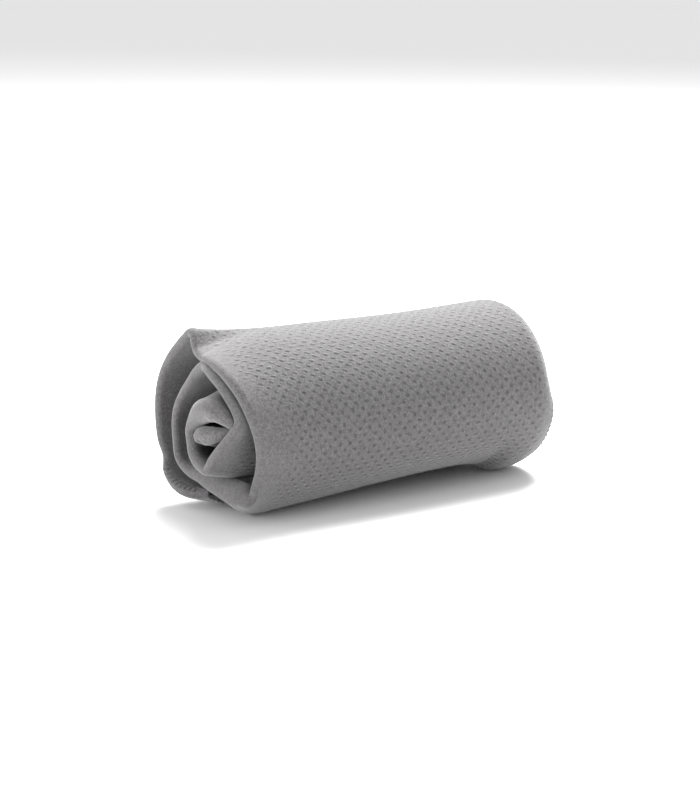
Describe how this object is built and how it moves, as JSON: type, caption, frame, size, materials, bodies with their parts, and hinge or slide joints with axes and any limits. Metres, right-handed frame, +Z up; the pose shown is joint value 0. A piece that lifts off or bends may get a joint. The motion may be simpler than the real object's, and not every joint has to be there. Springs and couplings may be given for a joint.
{
  "type": "rolled towel",
  "caption": "Quick-dry towel of knitted mesh cloth, folded once lengthwise and loosely rolled on its side; its outer half turn unrolls flat towards the back.",
  "frame": {"origin": "centre of the bounding box's underside, on the surface the towel lies on", "axes": "+Z up, +X along the roll from the folded end to the hemmed end, -Y to the front"},
  "size_m": [0.154, 0.0726, 0.0714],
  "materials": {
    "towel_knit": "matte knitted mesh, brushed",
    "overlock_thread": "matte thread"
  },
  "bodies": {
    "tail": {"tail_panel": "towel_knit", "tail_long_hem_outer": "overlock_thread", "tail_long_hem_inner": "overlock_thread", "tail_short_hem_outer": "overlock_thread", "tail_short_hem_inner": "overlock_thread"},
    "back_1": {"back_1_panel": "towel_knit", "back_1_long_hem_outer": "overlock_thread", "back_1_long_hem_inner": "overlock_thread"},
    "back_2": {"back_2_panel": "towel_knit", "back_2_long_hem_outer": "overlock_thread", "back_2_long_hem_inner": "overlock_thread"},
    "back_3": {"back_3_panel": "towel_knit", "back_3_long_hem_outer": "overlock_thread", "back_3_long_hem_inner": "overlock_thread"},
    "roll": {"front_panel": "towel_knit", "front_long_hem_outer": "overlock_thread", "front_long_hem_inner": "overlock_thread", "second_turn_panel": "towel_knit", "second_turn_long_hem_outer": "overlock_thread", "second_turn_long_hem_inner": "overlock_thread", "third_turn_panel": "towel_knit", "third_turn_long_hem_outer": "overlock_thread", "third_turn_long_hem_inner": "overlock_thread", "core_panel": "towel_knit", "core_long_hem_outer": "overlock_thread", "core_long_hem_inner": "overlock_thread", "core_short_hem_outer": "overlock_thread", "core_short_hem_inner": "overlock_thread"}
  },
  "joints": [
    {"name": "unroll_1", "type": "hinge", "parent": "tail", "child": "back_1", "pos_m": [0, 0.01562, 0.00142], "axis": [-1, 0, 0], "range_deg": [0, 45]},
    {"name": "unroll_2", "type": "hinge", "parent": "back_1", "child": "back_2", "pos_m": [0, 0.03442, 0.02087], "axis": [-1, 0, 0], "range_deg": [0, 45]},
    {"name": "unroll_3", "type": "hinge", "parent": "back_2", "child": "back_3", "pos_m": [0, 0.03442, 0.04938], "axis": [-1, 0, 0], "range_deg": [0, 45]},
    {"name": "unroll_4", "type": "hinge", "parent": "back_3", "child": "roll", "pos_m": [0, 0.01426, 0.06954], "axis": [-1, 0, 0], "range_deg": [0, 45]}
  ],
  "couplings": [
    {"joint": "unroll_2", "follows": "unroll_1", "ratio": 1},
    {"joint": "unroll_3", "follows": "unroll_1", "ratio": 1},
    {"joint": "unroll_4", "follows": "unroll_1", "ratio": 1}
  ]
}
